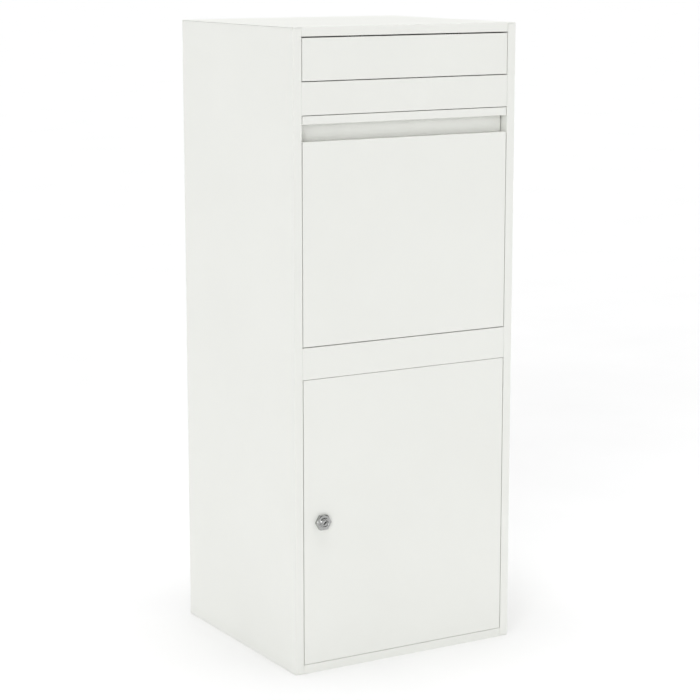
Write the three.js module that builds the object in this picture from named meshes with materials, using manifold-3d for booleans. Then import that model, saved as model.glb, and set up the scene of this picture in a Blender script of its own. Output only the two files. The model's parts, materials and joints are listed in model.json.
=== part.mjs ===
// Parcel drop box: a sheet-steel cabinet with a letter flap, a tilting parcel hopper and a locked door below.
// Millimetres. X runs right and Y back as seen from the front, Z is up; the origin is on the ground
// under the middle of the cabinet.

import * as THREE from "three";
import { mergeVertices } from "three/addons/utils/BufferGeometryUtils.js";
import Module from "manifold-3d";

const wasm = await Module();
wasm.setup();

// Overall size of the cabinet.
const WIDTH = 410;
const DEPTH = 380;
const HEIGHT = 1030;

// Sheet metal and fits.
const SHEET = 1.5; // thickness of every folded panel
const CONTACT = 0.3; // left between pieces that touch
const REVEAL = 1.5; // gap beside the flap, the hopper and the door, and under the first two
const FLAP_HEAD_GAP = 2.1;
const HOPPER_HEAD_GAP = 1.1;
const DOOR_END_GAP = 0.8; // above and below the door
const RETURN = 20; // depth of the folds behind the stiles, the rails and the door
const LIP = 12; // small folds that stiffen an edge
const FOLD_GAP = 2; // between the ends of neighbouring folds
const TURN_FIT = 0.3; // radial clearance of a pin in its hole

// Heights on the front from the top down. The door takes what is left.
const TOP_RAIL = 14.7;
const FLAP_HEIGHT = 65.4;
const LETTER_RAIL = 50.9;
const HOPPER_HEIGHT = 360.2;
const MIDDLE_RAIL = 50.75;
const SILL = 14.35;
const STILE = 14.5; // width of the upright strip at each side

// Letter flap.
const FLAP_AXIS_SETBACK = 4.2;
const FLAP_AXIS_DROP = 4.2;
const FLAP_TOP_RETURN = 7.5;
const FLAP_TAPER = 25; // height over which the flap's side folds reach their full depth
const FLAP_ROD_RADIUS = 1.75;
const FLAP_STOP_WIDTH = 20;
const FLAP_STOP_SPACING = 180;
const FLAP_STOP_DEPTH = 4.2;
const FLAP_STOP_HEIGHT = 3.5;

// Parcel hopper.
const HOPPER_AXIS_SETBACK = 9;
const HOPPER_AXIS_RISE = 38;
const HOPPER_OPEN = 45; // degrees
const HOPPER_ROD_RADIUS = 3.5;
const HOPPER_RETURN = 18;
const BUSH_WALL = 1.4;
const BUSH_FLANGE = 7.2;
const BUSH_FLANGE_HEIGHT = 1.5;
const CLIP_WIDTH = 3;
const CLIP_THICKNESS = 1;
const ROD_OVERRUN = 1.5; // of the hopper's rod past its clips
const GRIP_STRIP = 12.95;
const GRIP_SLOT = 26.8;
const GRIP_DEPTH = 17;
const GRIP_LIP = 8; // fold behind the strip's lower edge
const GRIP_OVERLAP = 32; // how far the grip rail reaches down behind the panel
const HEM = 4; // depth of the fold under the grip strip
const CHEEK_INSET = 1.8; // from the hopper's side to its cheek
const CHEEK_TOP_GAP = 4.2;
const CHEEK_FOOT = 14; // how far the cheek reaches below the axis
const CHEEK_CORNER = 30; // along the tray, where the cheek's lower edge meets it
const SCREW_RADIUS = 2;
const SCREW_HEAD = [3.8, 2]; // radius, height
const SCREW_END_INSET = 20;
const TAB_REACH = 3;
const RAIL_CLEARANCE = 0.5; // between the open hopper's tabs and the back of the rail
const TAB_ANGLE = 3; // degrees
const TRAY_SLOPE = 20; // degrees, falling to the back when the hopper is shut
const PAD_RADIUS = 5;
const PAD_HEIGHT = 6;
const STOP_ALONG = 0.75; // of the tray's length
const STOP_BRACKET = [34, 24, 30]; // width, depth, drop
const TRAY_RISE = 14; // height of the tray's front fold above the hopper's axis
const PARCEL_DROP = 175; // depth left behind the tray for a parcel to fall

// Letter chute and baffle.
const CHUTE_CLEARANCE = 4;
const CHUTE_OVERHANG = 37; // from the hopper's rearmost point to the chute's end
const BAFFLE_GAP = 14;
const BAFFLE_LENGTH = 140;

// Door and lock.
const PIN_SETBACK = 6;
const PIN_INSET = 18;
const PIN_RADIUS = 2.5;
const PIN_HEAD = 4.2;
const PIN_ENGAGEMENT = 12;
const DOOR_BUSH_RADIUS = 4;
const DOOR_BUSH = [0.9, 1.5, 8]; // flange width, flange height, length inside the door
const HINGE_PLATE = 3;
const PLATE_REACH = [24, 12, 10]; // of a hinge plate from the pin: left, right, back
const PIN_HEAD_HEIGHT = 2;
const STIFFENER = [40, 22, 14]; // half widths: foot, web bottom, web top
const STIFFENER_HEIGHT = 14;
const LOCK_INSET = 33.5;
const COLLAR_FLATS = 24;
const COLLAR_HEIGHT = 6.5;
const COLLAR_CHAMFER = [2, 2.6]; // the cone's radius past the hexagon's corners, and inside them
const BARREL_RADIUS = 7.75;
const BARREL_HEIGHT = 9;
const THREAD_RADIUS = 8.5;
const PLUG_RADIUS = 5.5;
const PLUG_RECESS = 0.5;
const KEY_SLOT = [1.7, 7.6]; // width, length
const KEY_SLOT_DEPTH = 10;
const KEY_SLOT_ANGLE = 45; // degrees
const LOCK_NUT_HEIGHT = 5;
const LOCK_WASHER = [13, 1]; // radius, thickness
const CAM_THICKNESS = 2.5;
const CAM_WIDTH = 14;
const CAM_TAIL = 9; // past the plug's axis
const CAM_NUT = [10, 4]; // across flats, height
const CAM_STUD_RADIUS = 3;
const WALL_TO_CAM = 5;

// Back fixing, ground fixing and stops.
const BACK_FLANGE = 20;
const STUD_RADIUS = 2;
const STUD_LENGTH = 9;
const STUDS_PER_SIDE = 4;
const STUD_NUT = [8, 3.2]; // across corners, height
const STUD_END_INSET = 90; // of the first and last stud from the cabinet's ends
const ANCHOR_RADIUS = 5.5;
const ANCHOR_INSET = 60;
const DOOR_STOP_INSET = 85;
const DOOR_STOP = [26, 30]; // depth, height
const DOOR_STOP_GRIP = 12; // how far the stop reaches behind the door

// Edges and levels that follow from the sizes above.
const LEFT = -WIDTH / 2;
const FRONT = -DEPTH / 2;
const BACK = DEPTH / 2;
const INNER_FRONT = FRONT + SHEET + CONTACT; // where a piece lies against the back of a front sheet
const INNER_LEFT = LEFT + SHEET + CONTACT;
const RAIL_LEFT = LEFT + STILE + CONTACT;
const LEAF_LEFT = LEFT + STILE + REVEAL;
const FLAP_TOP = HEIGHT - TOP_RAIL - FLAP_HEAD_GAP;
const FLAP_BOTTOM = FLAP_TOP - FLAP_HEIGHT;
const LETTER_RAIL_TOP = FLAP_BOTTOM - REVEAL;
const LETTER_RAIL_BOTTOM = LETTER_RAIL_TOP - LETTER_RAIL;
const HOPPER_TOP = LETTER_RAIL_BOTTOM - HOPPER_HEAD_GAP;
const HOPPER_BOTTOM = HOPPER_TOP - HOPPER_HEIGHT;
const MIDDLE_RAIL_TOP = HOPPER_BOTTOM - REVEAL;
const MIDDLE_RAIL_BOTTOM = MIDDLE_RAIL_TOP - MIDDLE_RAIL;
const DOOR_TOP = MIDDLE_RAIL_BOTTOM - DOOR_END_GAP;
const DOOR_BOTTOM = SILL + DOOR_END_GAP;
const FLAP_AXIS = [FRONT + FLAP_AXIS_SETBACK, FLAP_TOP - FLAP_AXIS_DROP];
const HOPPER_AXIS = [FRONT + HOPPER_AXIS_SETBACK, HOPPER_BOTTOM + HOPPER_AXIS_RISE];
const PIN_AXIS = [-LEAF_LEFT - PIN_INSET, FRONT + PIN_SETBACK];
const BUSH_SEAT = LEFT + STILE - SHEET - CONTACT;
const CLIP_FACE = BUSH_SEAT - BUSH_FLANGE_HEIGHT - CONTACT;
const LOCK_AXIS = [LEAF_LEFT + LOCK_INSET, (DOOR_TOP + DOOR_BOTTOM) / 2];

const PAINT = { color: 0xe8eae5, roughness: 0.55, metalness: 0.0 };
const ZINC = { color: 0xb9bcc0, roughness: 0.35, metalness: 0.9 };
const CHROME = { color: 0xd6d8db, roughness: 0.2, metalness: 1.0 };
const NYLON = { color: 0xd9d7cf, roughness: 0.6, metalness: 0.0 };
const RUBBER = { color: 0x26272a, roughness: 0.85, metalness: 0.0 };

// Turning an outline's plane to stand across X or across Y.
const ACROSS_X = new THREE.Matrix4().makeBasis(
  new THREE.Vector3(0, 1, 0),
  new THREE.Vector3(0, 0, 1),
  new THREE.Vector3(1, 0, 0),
);
const ACROSS_Y = new THREE.Matrix4().makeBasis(
  new THREE.Vector3(0, 0, 1),
  new THREE.Vector3(1, 0, 0),
  new THREE.Vector3(0, 1, 0),
);
const MIRROR_X = new THREE.Matrix4().makeScale(-1, 1, 1);

// Solids: a closed geometry becomes a body that can be joined and cut.
function bodyOf(geometry) {
  const plain = geometry.index ? geometry.toNonIndexed() : geometry.clone();
  plain.deleteAttribute("normal");
  plain.deleteAttribute("uv");
  const merged = mergeVertices(plain, 1e-4);
  const vertProperties = merged.attributes.position.array;
  const triVerts = new Uint32Array(merged.index.array);
  return new wasm.Manifold(new wasm.Mesh({ numProp: 3, vertProperties, triVerts }));
}

function meshOf(name, body, look) {
  const made = body.getMesh();
  const geometry = new THREE.BufferGeometry();
  geometry.setAttribute("position", new THREE.BufferAttribute(made.vertProperties, 3));
  geometry.setIndex(new THREE.BufferAttribute(made.triVerts, 1));
  geometry.computeVertexNormals();
  const mesh = new THREE.Mesh(geometry, new THREE.MeshStandardMaterial(look));
  mesh.name = name;
  return mesh;
}

function join(first, ...others) {
  return others.reduce((sum, body) => sum.add(body), first);
}

function cut(first, ...others) {
  return others.reduce((rest, body) => rest.subtract(body), first);
}

// A box between two values of each of X, Y and Z.
function block(x, y, z) {
  const geometry = new THREE.BoxGeometry(x[1] - x[0], y[1] - y[0], z[1] - z[0]);
  geometry.translate((x[0] + x[1]) / 2, (y[0] + y[1]) / 2, (z[0] + z[1]) / 2);
  return bodyOf(geometry);
}

function extrude(points, from, to, plane) {
  const shape = new THREE.Shape(points.map(([u, v]) => new THREE.Vector2(u, v)));
  const geometry = new THREE.ExtrudeGeometry(shape, { depth: to - from, bevelEnabled: false });
  geometry.translate(0, 0, from);
  if (plane) geometry.applyMatrix4(plane);
  return bodyOf(geometry);
}

// Outlines of [y, z] points swept along X, of [z, x] points along Y and of [x, y] points along Z.
const alongX = (points, from, to) => extrude(points, from, to, ACROSS_X);
const alongY = (points, from, to) => extrude(points, from, to, ACROSS_Y);
const alongZ = (points, from, to) => extrude(points, from, to);

// A rod, or any regular prism, along "x", "y" or "z", with its axis at [a, b] in the other two, in order.
function rod(axis, radius, from, to, [a, b], sides = 24) {
  const geometry = new THREE.CylinderGeometry(radius, radius, to - from, sides);
  const middle = (from + to) / 2;
  if (axis === "x") geometry.rotateZ(-Math.PI / 2).translate(middle, a, b);
  if (axis === "y") geometry.rotateY(Math.PI / sides).translate(a, middle, b);
  if (axis === "z") geometry.rotateX(Math.PI / 2).translate(a, b, middle);
  return bodyOf(geometry);
}

function ring(axis, inner, outer, from, to, centre, sides = 24) {
  return cut(
    rod(axis, outer, from, to, centre, sides),
    rod(axis, inner, from - 1, to + 1, centre),
  );
}

const mirrored = (body) => body.transform(MIRROR_X.elements);
const radians = THREE.MathUtils.degToRad;

// The outline of a folded sheet: the line of one face, and the same line a sheet's thickness to its right
// (or, with side -1, to its left), mitred at each fold.
function folded(line, side = 1) {
  const normals = line.slice(1).map(([u, v], i) => {
    const [du, dv] = [u - line[i][0], v - line[i][1]];
    const length = Math.hypot(du, dv);
    return [(side * dv) / length, (-side * du) / length];
  });
  const other = line.map(([u, v], i) => {
    const before = normals[Math.max(i - 1, 0)];
    const after = normals[Math.min(i, normals.length - 1)];
    const share = SHEET / (1 + before[0] * after[0] + before[1] * after[1]);
    return [u + share * (before[0] + after[0]), v + share * (before[1] + after[1])];
  });
  return [...line, ...other.reverse()];
}

function arc([u, v], radius, from, to, steps) {
  return Array.from({ length: steps + 1 }, (_, i) => {
    const angle = radians(from + ((to - from) * i) / steps);
    return [u + radius * Math.sin(angle), v + radius * Math.cos(angle)];
  });
}

// Hopper geometry that several pieces share. Angles are measured back from straight up, about its axis.
const RAIL_REACH = LETTER_RAIL_BOTTOM - HOPPER_AXIS[1];
const CHEEK_RADIUS = HOPPER_TOP - HOPPER_AXIS[1] - CHEEK_TOP_GAP;
const TAB_RADIUS = RAIL_REACH + TAB_REACH;
const RAIL_BACK = RETURN + RAIL_CLEARANCE - HOPPER_AXIS_SETBACK;
const TAB_START = HOPPER_OPEN + THREE.MathUtils.radToDeg(Math.asin(RAIL_BACK / RAIL_REACH));
const TAB_END = TAB_START + TAB_ANGLE;
const PANEL_TOP = HOPPER_TOP - GRIP_STRIP - GRIP_SLOT;
const GRIP_FOOT = PANEL_TOP - GRIP_OVERLAP;
const CHEEK_LEFT = LEAF_LEFT + CHEEK_INSET;
const TRAY_LEFT = CHEEK_LEFT + SHEET + CONTACT;
const TRAY_LENGTH = DEPTH - PARCEL_DROP;
const TRAY_START = [INNER_FRONT, HOPPER_AXIS[1] + TRAY_RISE];

// A point at a distance along the tray and a height square to it.
function onTray(along, above) {
  const slope = radians(TRAY_SLOPE);
  return [
    TRAY_START[0] + along * Math.cos(slope) + above * Math.sin(slope),
    TRAY_START[1] - along * Math.sin(slope) + above * Math.cos(slope),
  ];
}

const CHEEK_REAR_TOP = arc(HOPPER_AXIS, CHEEK_RADIUS, TAB_END, TAB_END, 1)[0];
const CHEEK_REAR_BOTTOM = onTray(TRAY_LENGTH, SHEET + LIP);

// The chute runs as steeply as it can while it clears the hopper's tabs.
const CHUTE_START = [FRONT + RETURN + CONTACT, LETTER_RAIL_TOP - SHEET - FOLD_GAP];
const CHUTE_END_Y = CHEEK_REAR_TOP[0] + CHUTE_OVERHANG;

function chuteSlope() {
  const across = CHUTE_START[0] - HOPPER_AXIS[0];
  const up = CHUTE_START[1] - HOPPER_AXIS[1];
  const nearest = TAB_RADIUS + CHUTE_CLEARANCE + SHEET;
  return Math.atan2(across, up) + Math.acos(nearest / Math.hypot(across, up));
}

const CHUTE_END = [
  CHUTE_END_Y,
  CHUTE_START[1] - (CHUTE_END_Y - CHUTE_START[0]) * Math.tan(chuteSlope()),
];

// Cabinet shell.
function sidePanel(name, side) {
  const line = [
    [LEFT + STILE, FRONT + RETURN],
    [LEFT + STILE, FRONT],
    [LEFT, FRONT],
    [LEFT, BACK - SHEET - CONTACT],
    [LEFT + BACK_FLANGE, BACK - SHEET - CONTACT],
  ];
  const shell = alongZ(folded(line), SHEET + CONTACT, HEIGHT - SHEET - CONTACT);
  const span = [LEFT + STILE - 2 * SHEET, LEFT + STILE + SHEET];
  const bushHole = HOPPER_ROD_RADIUS + TURN_FIT + BUSH_WALL + TURN_FIT;
  const body = cut(
    shell,
    rod("x", FLAP_ROD_RADIUS + TURN_FIT, ...span, FLAP_AXIS),
    rod("x", bushHole, ...span, HOPPER_AXIS),
    ...studHeights().map((z) =>
      rod("y", STUD_RADIUS + TURN_FIT, BACK - 5, BACK, [LEFT + BACK_FLANGE / 2 + SHEET / 2, z]),
    ),
  );
  return meshOf(name, side < 0 ? body : mirrored(body), PAINT);
}

function studHeights() {
  const step = (HEIGHT - 2 * STUD_END_INSET) / (STUDS_PER_SIDE - 1);
  return Array.from({ length: STUDS_PER_SIDE }, (_, i) => STUD_END_INSET + i * step);
}

function studPlaces() {
  const x = LEFT + BACK_FLANGE / 2 + SHEET / 2;
  return [x, -x].flatMap((place) => studHeights().map((z) => [place, z]));
}

function backPanel() {
  const plate = block([LEFT, -LEFT], [BACK - SHEET, BACK], [SHEET + CONTACT, HEIGHT - SHEET - CONTACT]);
  const studs = studPlaces().map((place) =>
    rod("y", STUD_RADIUS, BACK - SHEET - STUD_LENGTH, BACK - SHEET / 2, place, 12),
  );
  return meshOf("back_panel", join(plate, ...studs), PAINT);
}

function backNuts() {
  const seat = BACK - 2 * SHEET - 2 * CONTACT;
  return studPlaces().map((place, i) =>
    meshOf(
      "back_nut_" + (i + 1),
      cut(
        rod("y", STUD_NUT[0] / 2, seat - STUD_NUT[1], seat, place, 6),
        rod("y", STUD_RADIUS + TURN_FIT, seat - STUD_NUT[1] - 1, seat + 1, place, 12),
      ),
      ZINC,
    ),
  );
}

// The top and the bottom are the same tray, with folds that reach inwards. Its front fold is a rail.
function endPanel(name, outer, inward, rail, holes) {
  const level = (depth) => [outer, outer + inward * depth].sort((a, b) => a - b);
  const fold = [outer + inward * (rail - SHEET), outer + inward * rail].sort((a, b) => a - b);
  const sideBack = BACK - 2 * SHEET - 2 * CONTACT;
  const flange = [INNER_LEFT, INNER_LEFT + SHEET];
  const body = join(
    block([LEFT, -LEFT], [FRONT, BACK], level(SHEET)),
    block([RAIL_LEFT, -RAIL_LEFT], [FRONT, FRONT + SHEET], level(rail)),
    block([RAIL_LEFT, -RAIL_LEFT], [FRONT, FRONT + RETURN], fold),
    block(flange, [FRONT + RETURN + FOLD_GAP, sideBack - FOLD_GAP], level(SHEET + LIP)),
    block([-flange[1], -flange[0]], [FRONT + RETURN + FOLD_GAP, sideBack - FOLD_GAP], level(SHEET + LIP)),
    block(
      [LEFT + BACK_FLANGE + FOLD_GAP, -LEFT - BACK_FLANGE - FOLD_GAP],
      [sideBack, sideBack + SHEET],
      level(SHEET + LIP),
    ),
  );
  return meshOf(name, holes.length ? cut(body, ...holes) : body, PAINT);
}

function topPanel() {
  return endPanel("top_panel", HEIGHT, -1, TOP_RAIL, []);
}

function bottomPanel() {
  const [x, y] = [-LEFT - ANCHOR_INSET, BACK - ANCHOR_INSET];
  const corners = [[x, y], [-x, y], [x, -y], [-x, -y]];
  const anchors = corners.map((place) => rod("z", ANCHOR_RADIUS, -1, SHEET + 1, place));
  const pinHole = rod("z", PIN_RADIUS + TURN_FIT, SILL - SHEET - 1, SILL + 1, PIN_AXIS);
  return endPanel("bottom_panel", 0, 1, SILL, [...anchors, pinHole]);
}

function railChannel(bottom, top) {
  const line = [
    [FRONT + RETURN, bottom + LIP],
    [FRONT + RETURN, bottom],
    [FRONT, bottom],
    [FRONT, top],
    [FRONT + RETURN, top],
    [FRONT + RETURN, top - LIP],
  ];
  return alongX(folded(line), RAIL_LEFT, -RAIL_LEFT);
}

function letterRail() {
  return meshOf("letter_rail", railChannel(LETTER_RAIL_BOTTOM, LETTER_RAIL_TOP), PAINT);
}

function middleRail() {
  const pinHole = rod(
    "z",
    PIN_RADIUS + TURN_FIT,
    MIDDLE_RAIL_BOTTOM - 1,
    MIDDLE_RAIL_BOTTOM + SHEET + 1,
    PIN_AXIS,
  );
  return meshOf("middle_rail", cut(railChannel(MIDDLE_RAIL_BOTTOM, MIDDLE_RAIL_TOP), pinHole), PAINT);
}

function letterChute() {
  const line = [
    [CHUTE_START[0], LETTER_RAIL_TOP - LIP - FOLD_GAP],
    CHUTE_START,
    CHUTE_END,
    [CHUTE_END[0], CHUTE_END[1] - LIP],
  ];
  const lip = [
    [CHUTE_START[0] + SHEET, CHUTE_START[1] - 2 * SHEET],
    [CHUTE_START[0] + SHEET, CHUTE_START[1] + LIP / 2],
    [CHUTE_END[0], CHUTE_END[1] + LIP],
    [CHUTE_END[0], CHUTE_END[1] - SHEET / 2],
  ];
  const body = join(
    alongX(folded(line), INNER_LEFT, -INNER_LEFT),
    alongX(lip, INNER_LEFT, INNER_LEFT + SHEET),
    alongX(lip, -INNER_LEFT - SHEET, -INNER_LEFT),
  );
  return meshOf("letter_chute", body, PAINT);
}

function bafflePanel() {
  const rear = [CHEEK_REAR_TOP[0] - CHEEK_REAR_BOTTOM[0], CHEEK_REAR_TOP[1] - CHEEK_REAR_BOTTOM[1]];
  const length = Math.hypot(...rear);
  const [dy, dz] = [rear[0] / length, rear[1] / length];
  const bend = [CHEEK_REAR_TOP[0] + BAFFLE_GAP * dz, CHEEK_REAR_TOP[1] - BAFFLE_GAP * dy];
  const tip = [bend[0] - BAFFLE_LENGTH * dy, bend[1] - BAFFLE_LENGTH * dz];
  const seat = CHUTE_END[0] - SHEET - CONTACT;
  const line = [
    [seat, CHUTE_END[1] - LIP / 2],
    [seat, CHUTE_END[1] - 2 * LIP],
    bend,
    tip,
    [tip[0] + LIP, tip[1]],
  ];
  return meshOf("baffle_panel", alongX(folded(line), INNER_LEFT, -INNER_LEFT), PAINT);
}

// Fittings of the cabinet.
// The flap's rod is held endways between the side walls.
function flapRod() {
  const end = INNER_LEFT + CONTACT;
  return meshOf("flap_rod", rod("x", FLAP_ROD_RADIUS, end, -end, FLAP_AXIS), ZINC);
}

// A snap ring, open at the top, behind the flange of the bush.
function rodClip(name, side) {
  const [y, z] = HOPPER_AXIS;
  const span = [CLIP_FACE - CLIP_THICKNESS, CLIP_FACE];
  const grip = ring("x", HOPPER_ROD_RADIUS + TURN_FIT, HOPPER_ROD_RADIUS + CLIP_WIDTH, ...span, HOPPER_AXIS);
  const mouth = block([span[0] - 1, span[1] + 1], [y - 1, y + 1], [z, z + 4 * CLIP_WIDTH]);
  const body = cut(grip, mouth);
  return meshOf(name, side < 0 ? body : mirrored(body), ZINC);
}

function flapStop(name, side) {
  const x = (side * FLAP_STOP_SPACING) / 2;
  const top = HEIGHT - TOP_RAIL - CONTACT;
  const front = FRONT + FLAP_TOP_RETURN + CONTACT;
  const body = block(
    [x - FLAP_STOP_WIDTH / 2, x + FLAP_STOP_WIDTH / 2],
    [front, front + FLAP_STOP_DEPTH],
    [top - FLAP_STOP_HEIGHT, top],
  );
  return meshOf(name, body, RUBBER);
}

function hopperBush(name, side) {
  const bore = HOPPER_ROD_RADIUS + TURN_FIT;
  const flange = [BUSH_SEAT - BUSH_FLANGE_HEIGHT, BUSH_SEAT];
  const sleeve = [BUSH_SEAT - BUSH_FLANGE_HEIGHT / 2, LEFT + STILE - CONTACT];
  const body = join(
    ring("x", bore, BUSH_FLANGE, ...flange, HOPPER_AXIS),
    ring("x", bore, bore + BUSH_WALL, ...sleeve, HOPPER_AXIS),
  );
  return meshOf(name, side < 0 ? body : mirrored(body), NYLON);
}

// A bracket on each side wall, with a rubber pad on which the shut tray rests.
function hopperStop(side) {
  const [y, z] = onTray(TRAY_LENGTH * STOP_ALONG, -PAD_HEIGHT);
  const [width, depth, drop] = STOP_BRACKET;
  const shelfTop = z - PAD_HEIGHT + CONTACT;
  const ends = [y - depth / 2, y + depth / 2];
  const bracket = join(
    block([INNER_LEFT, INNER_LEFT + width], ends, [shelfTop - SHEET, shelfTop]),
    block([INNER_LEFT, INNER_LEFT + SHEET], ends, [shelfTop - drop, shelfTop]),
  );
  const pad = rod("z", PAD_RADIUS, shelfTop + CONTACT, z, [TRAY_LEFT + PAD_RADIUS, y]);
  const suffix = side < 0 ? "left" : "right";
  const placed = (body) => (side < 0 ? body : mirrored(body));
  return [
    meshOf("hopper_stop_bracket_" + suffix, placed(bracket), ZINC),
    meshOf("hopper_stop_pad_" + suffix, placed(pad), RUBBER),
  ];
}

function doorStop(name, z) {
  const [depth, height] = DOOR_STOP;
  const span = [z - height / 2, z + height / 2];
  const face = FRONT + RETURN + 2 * CONTACT;
  const body = join(
    block([INNER_LEFT, LEAF_LEFT + DOOR_STOP_GRIP], [face, face + SHEET], span),
    block([INNER_LEFT, INNER_LEFT + SHEET], [face, face + depth], span),
  );
  return meshOf(name, body, ZINC);
}

function hingePlate(name, under) {
  const [x, y] = PIN_AXIS;
  const [left, right, back] = PLATE_REACH;
  const over = under + HINGE_PLATE;
  const plate = block([x - left, x + right], [INNER_FRONT, y + back], [under, over]);
  return meshOf(name, cut(plate, rod("z", PIN_RADIUS + TURN_FIT, under - 1, over + 1, PIN_AXIS)), ZINC);
}

function hingePin(name, headFace, tip) {
  const up = Math.sign(tip - headFace);
  const outer = headFace - up * PIN_HEAD_HEIGHT;
  const span = (a, b) => [Math.min(a, b), Math.max(a, b)];
  const body = join(
    rod("z", PIN_HEAD, ...span(outer, headFace), PIN_AXIS),
    rod("z", PIN_RADIUS, ...span(headFace - up, tip), PIN_AXIS),
  );
  return meshOf(name, body, ZINC);
}

function doorHinges() {
  const topPlate = MIDDLE_RAIL_BOTTOM + SHEET + CONTACT;
  const bottomPlate = SILL - SHEET - CONTACT - HINGE_PLATE;
  return [
    hingePlate("door_hinge_plate_top", topPlate),
    hingePin("door_hinge_pin_top", topPlate + HINGE_PLATE + CONTACT, DOOR_TOP - PIN_ENGAGEMENT),
    hingePlate("door_hinge_plate_bottom", bottomPlate),
    hingePin("door_hinge_pin_bottom", bottomPlate - CONTACT, DOOR_BOTTOM + PIN_ENGAGEMENT),
  ];
}

function cabinet() {
  const group = new THREE.Group();
  group.add(sidePanel("left_side_panel", -1), sidePanel("right_side_panel", 1));
  group.add(backPanel(), ...backNuts(), topPanel(), bottomPanel());
  group.add(letterRail(), middleRail(), letterChute(), bafflePanel());
  group.add(flapRod());
  group.add(flapStop("flap_stop_left", -1), flapStop("flap_stop_right", 1));
  group.add(hopperBush("hopper_bush_left", -1), hopperBush("hopper_bush_right", 1));
  group.add(...hopperStop(-1), ...hopperStop(1));
  group.add(doorStop("door_stop_upper", DOOR_TOP - DOOR_STOP_INSET));
  group.add(doorStop("door_stop_lower", DOOR_BOTTOM + DOOR_STOP_INSET));
  group.add(...doorHinges());
  return group;
}

// Letter flap: a shallow pan that swings inwards on the rod.
function letterFlap() {
  const depth = FRONT + RETURN;
  const line = [
    [FRONT + FLAP_TOP_RETURN, FLAP_TOP],
    [FRONT, FLAP_TOP],
    [FRONT, FLAP_BOTTOM],
    [depth, FLAP_BOTTOM],
    [depth, FLAP_BOTTOM + LIP],
  ];
  const ear = [
    [FRONT, FLAP_TOP],
    [FRONT + FLAP_TOP_RETURN, FLAP_TOP],
    [FRONT + FLAP_TOP_RETURN, FLAP_AXIS[1]],
    [depth, FLAP_AXIS[1] - FLAP_TAPER],
    [depth, FLAP_BOTTOM],
    [FRONT, FLAP_BOTTOM],
  ];
  const body = cut(
    join(
      alongX(folded(line, -1), LEAF_LEFT, -LEAF_LEFT),
      alongX(ear, LEAF_LEFT, LEAF_LEFT + SHEET),
      alongX(ear, -LEAF_LEFT - SHEET, -LEAF_LEFT),
    ),
    rod("x", FLAP_ROD_RADIUS + TURN_FIT, LEFT, -LEFT, FLAP_AXIS),
  );
  return meshOf("letter_flap_panel", body, PAINT);
}

// Parcel hopper.
// The panel's top fold is the floor of the finger recess and ends against the grip rail.
function hopperPanel() {
  const ledge = FRONT + GRIP_DEPTH - CONTACT;
  const line = [
    [FRONT + HOPPER_RETURN, HOPPER_BOTTOM],
    [FRONT, HOPPER_BOTTOM],
    [FRONT, PANEL_TOP],
    [ledge, PANEL_TOP],
    [ledge, PANEL_TOP - LIP],
  ];
  const side = (x) =>
    block([x, x + SHEET], [FRONT, FRONT + HOPPER_RETURN], [HOPPER_BOTTOM, GRIP_FOOT - CONTACT]);
  const body = cut(
    join(
      alongX(folded(line), LEAF_LEFT, -LEAF_LEFT),
      side(LEAF_LEFT),
      side(-LEAF_LEFT - SHEET),
    ),
    rod("x", HOPPER_ROD_RADIUS + TURN_FIT, LEFT, -LEFT, HOPPER_AXIS),
    ...screwPlaces().map((place) => rod("x", SCREW_RADIUS + TURN_FIT, LEFT, -LEFT, place, 12)),
  );
  return meshOf("hopper_front_panel", body, PAINT);
}

function gripRail() {
  const slotTop = HOPPER_TOP - GRIP_STRIP;
  const back = FRONT + GRIP_DEPTH + SHEET;
  const line = [
    [FRONT + HEM, slotTop + GRIP_LIP],
    [FRONT + HEM, slotTop],
    [FRONT, slotTop],
    [FRONT, HOPPER_TOP],
    [back, HOPPER_TOP],
    [back, GRIP_FOOT],
  ];
  return meshOf("hopper_grip_rail", alongX(folded(line), LEAF_LEFT, -LEAF_LEFT), PAINT);
}

function cheek(name, side) {
  const gripBack = FRONT + GRIP_DEPTH + SHEET + CONTACT;
  const step = GRIP_FOOT - CONTACT;
  const start = THREE.MathUtils.radToDeg(Math.asin((gripBack - HOPPER_AXIS[0]) / CHEEK_RADIUS));
  const outline = [
    [INNER_FRONT, HOPPER_AXIS[1] - CHEEK_FOOT],
    [INNER_FRONT, step],
    [gripBack, step],
    ...arc(HOPPER_AXIS, CHEEK_RADIUS, start, TAB_START, 16),
    ...arc(HOPPER_AXIS, TAB_RADIUS, TAB_START, TAB_END, 2),
    CHEEK_REAR_TOP,
    CHEEK_REAR_BOTTOM,
    onTray(TRAY_LENGTH, 0),
    onTray(CHEEK_CORNER, 0),
    [HOPPER_AXIS[0] + CHEEK_FOOT, HOPPER_AXIS[1] - CHEEK_FOOT],
  ];
  const body = cut(
    alongX(outline, CHEEK_LEFT, CHEEK_LEFT + SHEET),
    rod("x", HOPPER_ROD_RADIUS + TURN_FIT, LEFT, 0, HOPPER_AXIS),
    ...screwPlaces().map((place) => rod("x", SCREW_RADIUS + TURN_FIT, LEFT, 0, place, 12)),
  );
  return meshOf(name, side < 0 ? body : mirrored(body), PAINT);
}

function screwPlaces() {
  const y = FRONT + (HOPPER_RETURN + HEM) / 2;
  const foot = TRAY_START[1] + 2 * LIP;
  return [foot + SCREW_END_INSET, GRIP_FOOT - SCREW_END_INSET].map((z) => [y, z]);
}

function cheekScrews() {
  const head = TRAY_LEFT;
  const make = (place) =>
    join(
      rod("x", SCREW_HEAD[0], head, head + SCREW_HEAD[1], place, 16),
      rod("x", SCREW_RADIUS, LEAF_LEFT + CONTACT, head + SCREW_HEAD[1] / 2, place, 12),
    );
  return ["lower", "upper"].flatMap((level, i) => [
    meshOf("cheek_screw_left_" + level, make(screwPlaces()[i]), ZINC),
    meshOf("cheek_screw_right_" + level, mirrored(make(screwPlaces()[i])), ZINC),
  ]);
}

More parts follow.
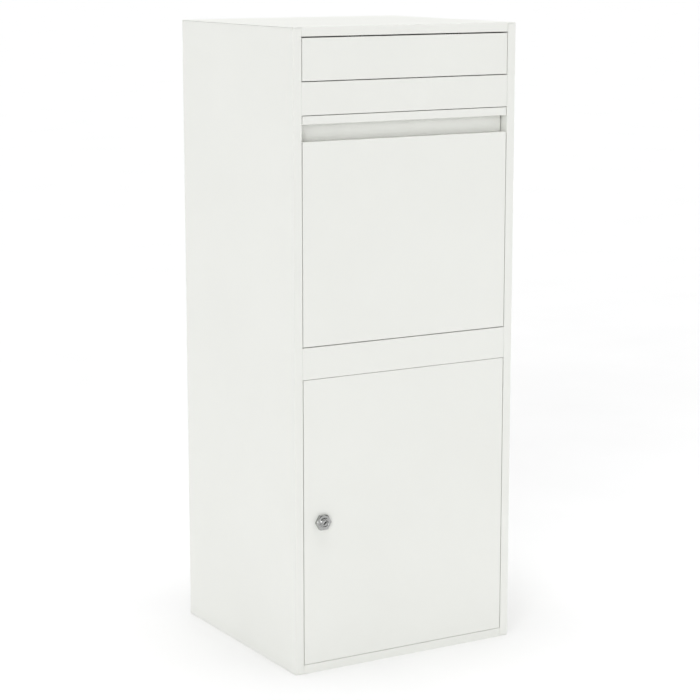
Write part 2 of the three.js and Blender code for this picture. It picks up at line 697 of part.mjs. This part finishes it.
function tray() {
  const line = [
    [TRAY_START[0], TRAY_START[1] + 2 * LIP],
    TRAY_START,
    onTray(TRAY_LENGTH, 0),
    onTray(TRAY_LENGTH, -LIP),
  ];
  const [front, back] = [2 * SHEET, TRAY_LENGTH];
  const lip = [onTray(front, SHEET / 2), onTray(front, LIP), onTray(back, LIP), onTray(back, SHEET / 2)];
  const body = join(
    alongX(folded(line, -1), TRAY_LEFT, -TRAY_LEFT),
    alongX(lip, TRAY_LEFT, TRAY_LEFT + SHEET),
    alongX(lip, -TRAY_LEFT - SHEET, -TRAY_LEFT),
  );
  return meshOf("hopper_tray", body, PAINT);
}

function hopper() {
  const group = new THREE.Group();
  const end = CLIP_FACE - CLIP_THICKNESS - ROD_OVERRUN;
  group.add(hopperPanel(), gripRail(), cheek("hopper_cheek_left", -1), cheek("hopper_cheek_right", 1));
  group.add(tray(), meshOf("hopper_rod", rod("x", HOPPER_ROD_RADIUS, end, -end, HOPPER_AXIS), ZINC));
  group.add(rodClip("hopper_rod_clip_left", -1), rodClip("hopper_rod_clip_right", 1));
  group.add(...cheekScrews());
  return group;
}

// Door.
function doorPanel() {
  const inner = LEAF_LEFT + SHEET;
  const body = cut(
    block([LEAF_LEFT, -LEAF_LEFT], [FRONT, FRONT + RETURN], [DOOR_BOTTOM, DOOR_TOP]),
    block([inner, -inner], [FRONT + SHEET, FRONT + RETURN + 1], [DOOR_BOTTOM + SHEET, DOOR_TOP - SHEET]),
    rod("y", THREAD_RADIUS + TURN_FIT, FRONT - 1, FRONT + 3, LOCK_AXIS),
    rod("z", DOOR_BUSH_RADIUS + TURN_FIT, DOOR_BOTTOM - 1, DOOR_BOTTOM + 3, PIN_AXIS),
    rod("z", DOOR_BUSH_RADIUS + TURN_FIT, DOOR_TOP - 3, DOOR_TOP + 1, PIN_AXIS),
  );
  return meshOf("door_panel", body, PAINT);
}

// A hat section down the middle of the door.
function doorStiffener() {
  const [foot, low, high] = STIFFENER;
  const crown = INNER_FRONT + STIFFENER_HEIGHT;
  const half = [[foot, INNER_FRONT], [low, INNER_FRONT], [high, crown]];
  const line = [...half.map(([x, y]) => [-x, y]), ...half.reverse()];
  return meshOf("door_stiffener", alongZ(folded(line, -1), DOOR_BOTTOM + RETURN, DOOR_TOP - RETURN), PAINT);
}

// A flanged nylon bush in each of the door's end folds, its flange on the inside.
function doorBush(name, outside, inward) {
  const [flange, flangeHeight, length] = DOOR_BUSH;
  const bore = PIN_RADIUS + TURN_FIT;
  const face = outside + inward * (SHEET + CONTACT);
  const span = (a, b) => [Math.min(a, b), Math.max(a, b)];
  const sleeve = span(outside + inward * CONTACT, face + inward * length);
  const collar = span(face, face + inward * flangeHeight);
  const body = join(
    ring("z", bore, DOOR_BUSH_RADIUS, ...sleeve, PIN_AXIS),
    ring("z", bore, DOOR_BUSH_RADIUS + flange, ...collar, PIN_AXIS),
  );
  const flat = block([0, -LEFT], [FRONT - RETURN, INNER_FRONT], [outside - HEIGHT, outside + HEIGHT]);
  return meshOf(name, cut(body, flat), NYLON);
}

function hexagon(flats, from, to) {
  return rod("y", flats / Math.sqrt(3), from, to, LOCK_AXIS, 6);
}

function lockBody() {
  const corner = COLLAR_FLATS / Math.sqrt(3);
  const [past, inside] = COLLAR_CHAMFER;
  const dome = new THREE.CylinderGeometry(corner + past, corner - inside, COLLAR_HEIGHT, 48);
  dome.translate(LOCK_AXIS[0], FRONT - CONTACT - COLLAR_HEIGHT / 2, LOCK_AXIS[1]);
  const collar = hexagon(COLLAR_FLATS, FRONT - COLLAR_HEIGHT, FRONT - CONTACT).intersect(bodyOf(dome));
  const body = cut(
    join(
      collar,
      rod("y", BARREL_RADIUS, FRONT - BARREL_HEIGHT, FRONT - 1, LOCK_AXIS, 32),
      rod("y", THREAD_RADIUS, FRONT - 1, FRONT + RETURN, LOCK_AXIS, 32),
    ),
    rod("y", PLUG_RADIUS + TURN_FIT, FRONT - BARREL_HEIGHT - 1, FRONT + RETURN + 1, LOCK_AXIS, 32),
  );
  return meshOf("lock_body", body, CHROME);
}

function door() {
  const group = new THREE.Group();
  const washer = [INNER_FRONT, INNER_FRONT + LOCK_WASHER[1]];
  const nut = [washer[1] + CONTACT, washer[1] + CONTACT + LOCK_NUT_HEIGHT];
  const bore = THREAD_RADIUS + TURN_FIT;
  group.add(doorPanel(), doorStiffener(), lockBody());
  group.add(doorBush("door_bush_top", DOOR_TOP, -1), doorBush("door_bush_bottom", DOOR_BOTTOM, 1));
  group.add(meshOf("lock_washer", ring("y", bore, LOCK_WASHER[0], ...washer, LOCK_AXIS), ZINC));
  const hex = cut(hexagon(COLLAR_FLATS, ...nut), rod("y", bore, nut[0] - 1, nut[1] + 1, LOCK_AXIS));
  group.add(meshOf("lock_nut", hex, ZINC));
  return group;
}

// Lock plug with its cam, shown unlocked: the cam hangs down, and a quarter turn takes it behind the stile.
function lockPlug() {
  const back = FRONT + RETURN + CONTACT;
  const stud = back + CAM_THICKNESS + CAM_NUT[1] + CAM_STUD_RADIUS;
  const [width, length] = KEY_SLOT;
  const slot = block([-width / 2, width / 2], [-2 * KEY_SLOT_DEPTH, 0], [-length / 2, length / 2]);
  const place = new THREE.Matrix4()
    .makeTranslation(LOCK_AXIS[0], FRONT - BARREL_HEIGHT + KEY_SLOT_DEPTH, LOCK_AXIS[1])
    .multiply(new THREE.Matrix4().makeRotationY(radians(KEY_SLOT_ANGLE)));
  const body = cut(
    join(
      rod("y", PLUG_RADIUS, FRONT - BARREL_HEIGHT + PLUG_RECESS, back, LOCK_AXIS, 32),
      rod("y", CAM_STUD_RADIUS, back - 1, stud, LOCK_AXIS),
    ),
    slot.transform(place.elements),
  );
  return meshOf("lock_plug", body, CHROME);
}

function lockCam() {
  const [x, z] = LOCK_AXIS;
  const reach = x - LEFT - SHEET - WALL_TO_CAM;
  const from = FRONT + RETURN + 2 * CONTACT;
  const back = from + CAM_THICKNESS;
  const end = CAM_WIDTH / 2;
  const outline = [
    ...arc([z + CAM_TAIL - end, x], end, 0, 180, 12),
    ...arc([z - reach + end, x], end, 180, 360, 12),
  ];
  const bar = alongY(outline, from, back);
  const nut = hexagon(CAM_NUT[0], back + CONTACT, back + CONTACT + CAM_NUT[1]);
  const hole = rod("y", CAM_STUD_RADIUS + TURN_FIT, from - 1, back + CAM_NUT[1] + 2, LOCK_AXIS);
  return [meshOf("lock_cam", cut(bar, hole), ZINC), meshOf("lock_cam_nut", cut(nut, hole), ZINC)];
}

const box = new THREE.Group();
box.add(cabinet(), letterFlap(), hopper(), door(), lockPlug(), ...lockCam());

export default box;
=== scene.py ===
"""Looks of the parcel drop box, in metres.

Finishes, softened edges, the lock and the fastenings, then the floor, the light and the camera.
"""
import json
import math

import bmesh
import bpy
from mathutils import Matrix, Vector


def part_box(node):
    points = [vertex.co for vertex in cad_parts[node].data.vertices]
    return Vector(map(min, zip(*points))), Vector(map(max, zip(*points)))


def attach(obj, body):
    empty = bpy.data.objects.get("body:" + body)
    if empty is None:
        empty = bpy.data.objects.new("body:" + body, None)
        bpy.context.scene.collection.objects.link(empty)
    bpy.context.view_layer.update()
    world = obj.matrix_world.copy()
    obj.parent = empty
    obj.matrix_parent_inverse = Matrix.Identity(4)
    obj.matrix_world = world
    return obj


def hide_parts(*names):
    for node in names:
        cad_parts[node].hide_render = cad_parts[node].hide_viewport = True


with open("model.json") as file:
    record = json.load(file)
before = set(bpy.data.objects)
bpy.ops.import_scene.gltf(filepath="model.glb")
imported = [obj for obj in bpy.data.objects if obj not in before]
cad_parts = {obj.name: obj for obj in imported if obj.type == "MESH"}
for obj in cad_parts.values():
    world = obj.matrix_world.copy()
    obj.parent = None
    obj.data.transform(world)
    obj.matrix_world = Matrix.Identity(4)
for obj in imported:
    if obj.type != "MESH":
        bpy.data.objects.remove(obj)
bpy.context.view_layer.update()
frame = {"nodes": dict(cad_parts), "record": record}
SLOT_OF = {part["node"]: part["material_slot"] for part in frame["record"]["subparts"]}
BODIES = frame["record"]["behaviour"]["bodies"]
BODY_OF = {node: body for body, nodes in BODIES.items() for node in nodes}

MM = 0.001
FIT = 0.3 * MM  # play between pieces that are fitted together

# The camera looks from the front left, slightly from above.
CAMERA_PLACE = (-1.7905, -3.0533, 1.1544)
CAMERA_DOWN = 10.77  # degrees below the horizon
CAMERA_RIGHT = 30.49  # degrees from +Y towards +X
LENS = 109.9  # mm, for the sensor's width
SENSOR_WIDTH = 36  # mm
CLIP_END = 200  # how far it sees

# Edges of the CAD nodes.
SHEET_BEND = 0.5 * MM  # outer radius of the folds and of the cut edges
SMALL_EDGE = 0.25 * MM
SMALL_PIECE = 100 * MM  # pieces up to this length get the small edge
EDGE_SEGMENTS = 2
SHARP_EDGE = math.radians(40)
FLAT_FACES = math.radians(1)
SAME_POINT = 0.002 * MM

# Turned pieces.
HEXAGON_SIDE = math.pi / 3  # the angle that one side of a hexagon takes up
SMOOTH_EDGE = math.radians(35)
LOCK_SEGMENTS = 96
NUT_SEGMENTS = 72
SCREW_SEGMENTS = 48

# The lock: a threaded barrel with a hexagon collar, and a plug inside it.
COLLAR_FLATS = 24 * MM
COLLAR_HEIGHT = 6.5 * MM
BARREL_RADIUS = 7.75 * MM
BORE_RADIUS = 5.8 * MM
THREAD_RADIUS = 8.5 * MM
THREAD_DEPTH = 0.5 * MM
THREAD_PITCH = 1 * MM
PLUG_RADIUS = 5.5 * MM
STUD_RADIUS = 3 * MM
KEY_SLOT = (2.1 * MM, 22 * MM, 7.6 * MM)  # width, twice the depth, length
KEY_WARD = (1.4 * MM, 20 * MM, 1.3 * MM)
WARD_PLACE = (1.1 * MM, 0, 1.6 * MM)  # from the slot's middle
KEY_TURN = math.radians(45)

# Nuts, each with its width across flats and its bore's radius, and screws.
BACK_NUTS = 8
BACK_NUT = (6.9 * MM, 2.2 * MM)
LOCK_NUT = (23.8 * MM, 8.8 * MM)
CAM_NUT = (9.9 * MM, 3.3 * MM)
NUT_CHAMFER = 0.3 * MM
SCREW_HEAD_RADIUS = 3.8 * MM
SCREW_HEAD_HEIGHT = 2 * MM
SHANK_RADIUS = 2 * MM
SHANK_CHAMFER = 0.4 * MM
SOCKET_DEPTH = 1.2 * MM
SOCKET_FLATS = 2 * MM
SOCKET_MOUTH = 2.1 * MM

# Floor and light. The room's light falls off with the sine of the elevation.
FLOOR_WIDTH = 240
BRIGHT_BELOW = 0.15
DIM_ABOVE = 0.55
BRIGHT = 0.95
DIM = 0.15


def add_camera():
    data = bpy.data.cameras.new("camera")
    data.lens = LENS
    data.sensor_width = SENSOR_WIDTH
    data.clip_end = CLIP_END
    camera = bpy.data.objects.new("camera", data)
    camera.location = CAMERA_PLACE
    camera.rotation_euler = (math.radians(90 - CAMERA_DOWN), 0, math.radians(-CAMERA_RIGHT))
    bpy.context.scene.collection.objects.link(camera)
    bpy.context.scene.camera = camera


# Materials.
class Nodes:
    """A material's nodes, wired to its Principled shader."""

    def __init__(self, name):
        self.material = bpy.data.materials.new(name)
        self.material.use_nodes = True
        self.tree = self.material.node_tree
        self.shader = self.tree.nodes["Principled BSDF"]
        self.place = self.new("ShaderNodeTexCoord").outputs["Object"]

    def new(self, kind, **values):
        node = self.tree.nodes.new(kind)
        for key, value in values.items():
            setattr(node, key, value)
        return node

    def link(self, source, target):
        self.tree.links.new(source, target)

    def noise(self, scale, detail, stretch=(1, 1, 1)):
        mapping = self.new("ShaderNodeMapping")
        mapping.inputs["Scale"].default_value = stretch
        self.link(self.place, mapping.inputs["Vector"])
        node = self.new("ShaderNodeTexNoise")
        node.inputs["Scale"].default_value = scale
        node.inputs["Detail"].default_value = detail
        self.link(mapping.outputs["Vector"], node.inputs["Vector"])
        return node.outputs["Fac"]

    def ramp(self, source, low, high, start=0.3, end=0.7):
        node = self.new("ShaderNodeValToRGB")
        first, last = node.color_ramp.elements
        first.position, last.position = start, end
        first.color, last.color = (*low, 1), (*high, 1)
        self.link(source, node.inputs["Fac"])
        return node.outputs["Color"]

    def multiply(self, a, b):
        node = self.new("ShaderNodeMix", data_type="RGBA", blend_type="MULTIPLY")
        node.inputs["Factor"].default_value = 1.0
        inputs = {socket.identifier: socket for socket in node.inputs}
        self.link(a, inputs["A_Color"])
        self.link(b, inputs["B_Color"])
        return next(socket for socket in node.outputs if socket.identifier == "Result_Color")

    def range(self, source, low, high):
        node = self.new("ShaderNodeMapRange")
        node.inputs["To Min"].default_value = low
        node.inputs["To Max"].default_value = high
        self.link(source, node.inputs["Value"])
        return node.outputs["Result"]

    def bump(self, source, strength, distance, under=None):
        node = self.new("ShaderNodeBump")
        node.inputs["Strength"].default_value = strength
        node.inputs["Distance"].default_value = distance
        self.link(source, node.inputs["Height"])
        if under:
            self.link(under, node.inputs["Normal"])
        return node.outputs["Normal"]

    def colour(self, source):
        self.link(source, self.shader.inputs["Base Color"])

    def roughness(self, source):
        self.link(source, self.shader.inputs["Roughness"])

    def normal(self, source):
        self.link(source, self.shader.inputs["Normal"])


def grey(level):
    return (level, level, level)


def powder_coat():
    """White powder coat: fine orange peel, a faint drift of tone and small specks."""
    m = Nodes("white_powder_coat")
    drift = m.ramp(m.noise(scale=5, detail=4), low=(0.842, 0.850, 0.812), high=(0.858, 0.866, 0.828))
    specks = m.ramp(m.noise(scale=1400, detail=2), low=grey(0.97), high=grey(1), start=0.25, end=0.45)
    m.colour(m.multiply(drift, specks))
    m.roughness(m.range(m.noise(scale=60, detail=3), low=0.4, high=0.52))
    fine = m.bump(m.noise(scale=1100, detail=2), strength=0.1, distance=0.08 * MM)
    m.normal(m.bump(m.noise(scale=260, detail=3), strength=0.12, distance=0.2 * MM, under=fine))
    m.shader.inputs["IOR"].default_value = 1.45
    return m.material


def zinc_steel():
    """Zinc plate: mottled, with fine marks drawn out along Z."""
    m = Nodes("zinc_steel")
    m.shader.inputs["Metallic"].default_value = 1.0
    m.colour(m.ramp(m.noise(scale=90, detail=5), low=(0.46, 0.48, 0.50), high=(0.63, 0.63, 0.61)))
    m.roughness(m.range(m.noise(scale=350, detail=4), low=0.24, high=0.46))
    marks = m.noise(scale=2500, detail=3, stretch=(1, 1, 0.08))
    m.normal(m.bump(marks, strength=0.15, distance=0.03 * MM))
    return m.material


def lock_chrome():
    """Nickel-chrome plate: scuffed by hands, with fine marks drawn out along the lock's axis."""
    m = Nodes("lock_chrome")
    m.shader.inputs["Metallic"].default_value = 1.0
    m.colour(m.ramp(m.noise(scale=320, detail=5), low=(0.31, 0.315, 0.31), high=(0.49, 0.495, 0.49)))
    m.roughness(m.range(m.noise(scale=900, detail=4), low=0.16, high=0.34))
    marks = m.noise(scale=1800, detail=3, stretch=(1, 0.05, 1))
    m.normal(m.bump(marks, strength=0.2, distance=0.03 * MM))
    return m.material


def nylon():
    """Natural nylon: off-white, slightly translucent."""
    m = Nodes("nylon")
    m.shader.inputs["Subsurface Weight"].default_value = 0.15
    m.shader.inputs["Subsurface Scale"].default_value = 1 * MM
    m.colour(m.ramp(m.noise(scale=200, detail=3), low=(0.74, 0.73, 0.67), high=(0.80, 0.79, 0.74)))
    m.roughness(m.range(m.noise(scale=500, detail=3), low=0.45, high=0.6))
    m.normal(m.bump(m.noise(scale=1500, detail=2), strength=0.1, distance=0.05 * MM))
    return m.material


def black_rubber():
    """Matt moulded rubber."""
    m = Nodes("black_rubber")
    m.colour(m.ramp(m.noise(scale=300, detail=4), low=(0.018, 0.018, 0.019), high=(0.035, 0.035, 0.037)))
    m.roughness(m.range(m.noise(scale=700, detail=3), low=0.7, high=0.9))
    m.normal(m.bump(m.noise(scale=1300, detail=3), strength=0.25, distance=0.08 * MM))
    return m.material


def floor_paint():
    """White studio floor, almost without gloss."""
    m = Nodes("floor")
    m.colour(m.ramp(m.noise(scale=3, detail=4), low=grey(0.895), high=grey(0.91)))
    m.roughness(m.range(m.noise(scale=20, detail=3), low=0.85, high=0.95))
    m.shader.inputs["Specular IOR Level"].default_value = 0.1
    return m.material


MATERIALS = {
    "white_powder_coat": powder_coat(),
    "zinc_steel": zinc_steel(),
    "lock_chrome": lock_chrome(),
    "nylon": nylon(),
    "black_rubber": black_rubber(),
}


def paint(obj, slot):
    obj.data.materials.clear()
    obj.data.materials.append(MATERIALS[slot])


# CAD nodes keep their shape, and get softened edges and their finish.
def soften(node, width):
    for polygon in node.data.polygons:
        polygon.use_smooth = True
    weld = node.modifiers.new("weld", "WELD")
    weld.merge_threshold = SAME_POINT
    flat = node.modifiers.new("flat", "DECIMATE")
    flat.decimate_type = "DISSOLVE"
    flat.angle_limit = FLAT_FACES
    bevel = node.modifiers.new("edges", "BEVEL")
    bevel.width = width
    bevel.segments = EDGE_SEGMENTS
    bevel.limit_method = "ANGLE"
    bevel.angle_limit = SHARP_EDGE
    normals = node.modifiers.new("normals", "WEIGHTED_NORMAL")
    normals.keep_sharp = True
    triangles = node.modifiers.new("triangles", "TRIANGULATE")
    triangles.keep_custom_normals = True


def finish_cad_nodes():
    for name, node in frame["nodes"].items():
        paint(node, SLOT_OF[name])
        low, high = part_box(name)
        soften(node, SHEET_BEND if max(high - low) > SMALL_PIECE else SMALL_EDGE)


# Pieces made here.
def new_object(name, mesh):
    data = bpy.data.meshes.new(name)
    mesh.to_mesh(data)
    mesh.free()
    obj = bpy.data.objects.new(name, data)
    bpy.context.scene.collection.objects.link(obj)
    return obj


def corner(flats):
    """The radius of a hexagon's corners."""
    return flats / math.sqrt(3)


def ring(radius, segments, flats=None):
    """Points round the origin. With flats, they stay inside a hexagon of that width across flats."""
    points = []
    for i in range(segments):
        angle = 2 * math.pi * i / segments
        from_middle = angle % HEXAGON_SIDE - HEXAGON_SIDE / 2
        reach = min(radius, flats / 2 / math.cos(from_middle)) if flats else radius
        points.append((reach * math.cos(angle), reach * math.sin(angle)))
    return points


def turned(name, profile, segments):
    """A closed solid round Z. The profile is a list of (z, radius) or (z, radius, flats).
    It runs from axis to axis, or closes on itself if it starts off the axis."""
    mesh = bmesh.new()
    rings = []
    for z, radius, *flats in profile:
        if radius == 0:
            rings.append([mesh.verts.new((0, 0, z))] * segments)
        else:
            rings.append([mesh.verts.new((x, y, z)) for x, y in ring(radius, segments, *flats)])
    pairs = list(zip(rings, rings[1:]))
    if profile[0][1] > 0:
        pairs.append((rings[-1], rings[0]))
    for a, b in pairs:
        for i in range(segments):
            j = (i + 1) % segments
            corners = list(dict.fromkeys([a[i], a[j], b[j], b[i]]))
            if len(corners) > 2:
                mesh.faces.new(corners)
    bmesh.ops.recalc_face_normals(mesh, faces=mesh.faces)
    return new_object(name, mesh)


def cuboid(name, size, place):
    mesh = bmesh.new()
    bmesh.ops.create_cube(mesh, size=1, matrix=place @ Matrix.Diagonal((*size, 1)))
    return new_object(name, mesh)


def stand(obj, axis, centre):
    """Turns a piece made round Z to lie along a direction, at a centre."""
    rotation = Vector((0, 0, 1)).rotation_difference(Vector(axis)).to_matrix().to_4x4()
    obj.data.transform(Matrix.Translation(centre) @ rotation)


def carve(obj, cutter):
    """Cuts one closed object out of another for good."""
    boolean = obj.modifiers.new("cut", "BOOLEAN")
    boolean.operation = "DIFFERENCE"
    boolean.solver = "EXACT"
    boolean.object = cutter
    bpy.context.view_layer.update()
    depsgraph = bpy.context.evaluated_depsgraph_get()
    result = bpy.data.meshes.new_from_object(obj.evaluated_get(depsgraph))
    obj.modifiers.clear()
    obj.data = result
    bpy.data.objects.remove(cutter)


def stands_for(obj, node):
    """The piece takes a CAD node's place, body and finish."""
    obj.data.shade_smooth()
    obj.data.set_sharp_from_angle(angle=SMOOTH_EDGE)
    paint(obj, SLOT_OF[node])
    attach(obj, BODY_OF[node])
    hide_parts(node)


def middle(node):
    low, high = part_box(node)
    return (low + high) / 2


# The lock's outline starts at its far end, behind the door. The door's face is at z = 0.
def thread_outline(depth):
    lead_in = 0.6 * MM
    first_crest = 0.8 * MM
    plain = 2 * MM  # the length without thread
    relief = 0.1 * MM
    outline = [
        (-depth, BORE_RADIUS),
        (-depth, THREAD_RADIUS - lead_in),
        (-depth + lead_in, THREAD_RADIUS),
    ]
    for i in range(int((depth - plain) / THREAD_PITCH)):
        crest = -depth + first_crest + i * THREAD_PITCH
        outline.append((crest, THREAD_RADIUS))
        outline.append((crest + THREAD_PITCH / 2, THREAD_RADIUS - THREAD_DEPTH))
    outline.append((-FIT, THREAD_RADIUS - relief))
    return outline


def collar_outline():
    """A hexagon whose corners are turned off at the front, ending in a fillet against the barrel."""
    flats, top = COLLAR_FLATS, COLLAR_HEIGHT
    rim = corner(flats)
    side = flats / 2
    return [
        (-FIT + 0.02 * MM, 0.97 * rim, flats),
        (0.3 * MM, rim, flats),
        (top - 1.5 * MM, rim, flats),
        (top - 0.9 * MM, rim - 0.8 * MM, flats),
        (top - 0.1 * MM, side - 0.4 * MM, flats),
        (top, side - 0.9 * MM, flats),
        (top, BARREL_RADIUS + 0.5 * MM),
        (top + 0.4 * MM, BARREL_RADIUS),
    ]


def nose_outline(front):
    """The barrel's rounded front edge and its chamfered bore."""
    return [
        (front - 0.9 * MM, BARREL_RADIUS),
        (front - 0.3 * MM, BARREL_RADIUS - 0.15 * MM),
        (front, BARREL_RADIUS - 0.55 * MM),
        (front, BORE_RADIUS + 0.45 * MM),
        (front - 0.35 * MM, BORE_RADIUS),
    ]


def add_lock():
    low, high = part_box("lock_body")
    centre = middle("lock_body")
    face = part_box("door_panel")[0].y
    outline = thread_outline(high.y - face) + collar_outline() + nose_outline(face - low.y)
    obj = turned("lock_barrel", outline, LOCK_SEGMENTS)
    stand(obj, (0, -1, 0), (centre.x, face, centre.z))
    stands_for(obj, "lock_body")


def add_plug():
    """The plug with its key slot. A stud on its back carries the cam."""
    low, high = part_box("lock_plug")
    centre = middle("lock_plug")
    face = low.y
    length = high.y - face
    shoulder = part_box("lock_cam")[0].y - FIT - face
    edge = 0.5 * MM
    outline = [
        (0, 0),
        (0, PLUG_RADIUS - 2 * edge),
        (-0.3 * edge, PLUG_RADIUS - edge),
        (-edge, PLUG_RADIUS),
        (-shoulder, PLUG_RADIUS),
        (-shoulder, STUD_RADIUS),
        (-length + edge, STUD_RADIUS),
        (-length, STUD_RADIUS - edge),
        (-length, 0),
    ]
    obj = turned("key_plug", outline, LOCK_SEGMENTS)
    place = Matrix.Translation((centre.x, face, centre.z))
    stand(obj, (0, -1, 0), place.translation)
    slot_place = place @ Matrix.Rotation(KEY_TURN, 4, "Y")
    carve(obj, cuboid("slot", KEY_SLOT, slot_place))
    carve(obj, cuboid("ward", KEY_WARD, slot_place @ Matrix.Translation(WARD_PLACE)))
    stands_for(obj, "lock_plug")


def hexagon_nut(node, flats, bore):
    """A nut along Y, chamfered at its corners and at its bore."""
    low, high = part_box(node)
    half = (high - low).y / 2
    rim = corner(flats)
    face_radius = 0.48 * flats
    slope = 0.06 * flats
    profile = [
        (-half, bore + NUT_CHAMFER),
        (-half, face_radius, flats),
        (-half + slope, rim, flats),
        (half - slope, rim, flats),
        (half, face_radius, flats),
        (half, bore + NUT_CHAMFER),
        (half - NUT_CHAMFER, bore),
        (-half + NUT_CHAMFER, bore),
    ]
    obj = turned(node + "_chamfered", profile, NUT_SEGMENTS)
    stand(obj, (0, 1, 0), middle(node))
    stands_for(obj, node)


def socket_screw(node, side):
    """A low domed head with a hexagon socket, facing inwards, its shank into the hopper's side."""
    low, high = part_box(node)
    centre = middle(node)
    length = high.x - low.x
    profile = [
        (-SOCKET_DEPTH, 0),
        (-SOCKET_DEPTH, corner(SOCKET_FLATS), SOCKET_FLATS),
        (0, corner(SOCKET_MOUTH), SOCKET_MOUTH),
        (0, 2.2 * MM),
        (-0.25 * MM, 3.0 * MM),
        (-0.8 * MM, 3.6 * MM),
        (-1.4 * MM, SCREW_HEAD_RADIUS),
        (-SCREW_HEAD_HEIGHT, SCREW_HEAD_RADIUS),
        (-SCREW_HEAD_HEIGHT, SHANK_RADIUS),
        (-length + SHANK_CHAMFER, SHANK_RADIUS),
        (-length, SHANK_RADIUS - SHANK_CHAMFER),
        (-length, 0),
    ]
    obj = turned(node + "_socket", profile, SCREW_SEGMENTS)
    inner, inwards = (high.x, 1) if side == "left" else (low.x, -1)
    stand(obj, (inwards, 0, 0), (inner, centre.y, centre.z))
    stands_for(obj, node)


def add_fastenings():
    for i in range(BACK_NUTS):
        hexagon_nut(f"back_nut_{i + 1}", *BACK_NUT)
    hexagon_nut("lock_nut", *LOCK_NUT)
    hexagon_nut("lock_cam_nut", *CAM_NUT)
    for side in ("left", "right"):
        for level in ("lower", "upper"):
            socket_screw(f"cheek_screw_{side}_{level}", side)


# Floor and light.
def add_floor():
    bpy.ops.mesh.primitive_plane_add(size=FLOOR_WIDTH, location=(0, 0, 0))
    floor = bpy.context.object
    floor.name = "floor"
    floor.data.materials.append(floor_paint())


def add_sun(name, direction, strength, spread):
    """A distant lamp. The spread is its width in degrees."""
    data = bpy.data.lights.new(name, "SUN")
    data.energy = strength
    data.angle = math.radians(spread)
    light = bpy.data.objects.new(name, data)
    light.rotation_euler = Vector(direction).to_track_quat("-Z", "Y").to_euler()
    bpy.context.scene.collection.objects.link(light)


def add_room():
    """A white room, brightest up to the horizon and dim overhead."""
    world = bpy.data.worlds.new("studio")
    world.use_nodes = True
    tree = world.node_tree
    place = tree.nodes.new("ShaderNodeTexCoord")
    parts = tree.nodes.new("ShaderNodeSeparateXYZ")
    fall = tree.nodes.new("ShaderNodeMapRange")
    fall.interpolation_type = "SMOOTHSTEP"
    fall.inputs["From Min"].default_value = BRIGHT_BELOW
    fall.inputs["From Max"].default_value = DIM_ABOVE
    fall.inputs["To Min"].default_value = BRIGHT
    fall.inputs["To Max"].default_value = DIM
    background = tree.nodes["Background"]
    background.inputs["Color"].default_value = (*grey(1), 1)
    tree.links.new(place.outputs["Generated"], parts.inputs["Vector"])
    tree.links.new(parts.outputs["Z"], fall.inputs["Value"])
    tree.links.new(fall.outputs["Result"], background.inputs["Strength"])
    bpy.context.scene.world = world
    bpy.context.scene.view_settings.view_transform = "Standard"


def add_light():
    add_room()
    add_sun("overhead", direction=(0, 0, -1), strength=2.52, spread=40)
    add_sun("front_left", direction=(1, 1, -0.45), strength=0.75, spread=25)


def write_sizes():
    def plain(bounds):
        return [[float(value) for value in corner] for corner in bounds]


add_camera()
finish_cad_nodes()
add_lock()
add_plug()
add_fastenings()
add_floor()
add_light()
write_sizes()
